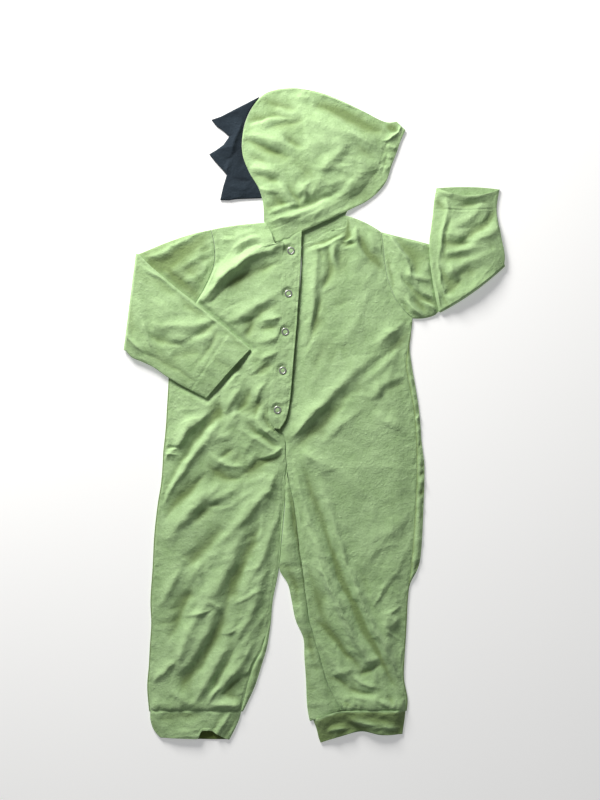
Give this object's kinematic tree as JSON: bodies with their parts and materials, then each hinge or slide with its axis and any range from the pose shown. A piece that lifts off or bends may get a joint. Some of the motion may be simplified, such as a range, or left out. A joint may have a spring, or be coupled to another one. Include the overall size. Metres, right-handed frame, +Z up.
{
  "type": "dragon onesie",
  "caption": "Child's hooded jersey all-in-one with a snapped placket and a strip of soft spikes down the hood, laid flat on its back.",
  "frame": {"origin": "middle of the laid garment's bounding box, on the surface it rests on", "axes": "+Y from the ankles to the hood, +Z up from the surface, +X to the wearer's left"},
  "size_m": [0.5325, 0.915, 0.0107],
  "materials": {
    "green_jersey": "matte, brushed cotton jersey",
    "navy_jersey": "matte, cotton jersey",
    "snap_metal": "polished nickel plate"
  },
  "bodies": {
    "root": {"front_right": "green_jersey", "front_left": "green_jersey", "back_right": "green_jersey", "back_left": "green_jersey", "placket_outer": "green_jersey", "placket_under": "green_jersey", "sleeve_right": "green_jersey", "sleeve_left": "green_jersey", "ankle_band_right": "green_jersey", "ankle_band_left": "green_jersey", "hood_right": "green_jersey", "hood_left": "green_jersey", "spikes": "navy_jersey", "snap_1": "snap_metal", "snap_2": "snap_metal", "snap_3": "snap_metal", "snap_4": "snap_metal", "snap_5": "snap_metal"}
  },
  "joints": []
}
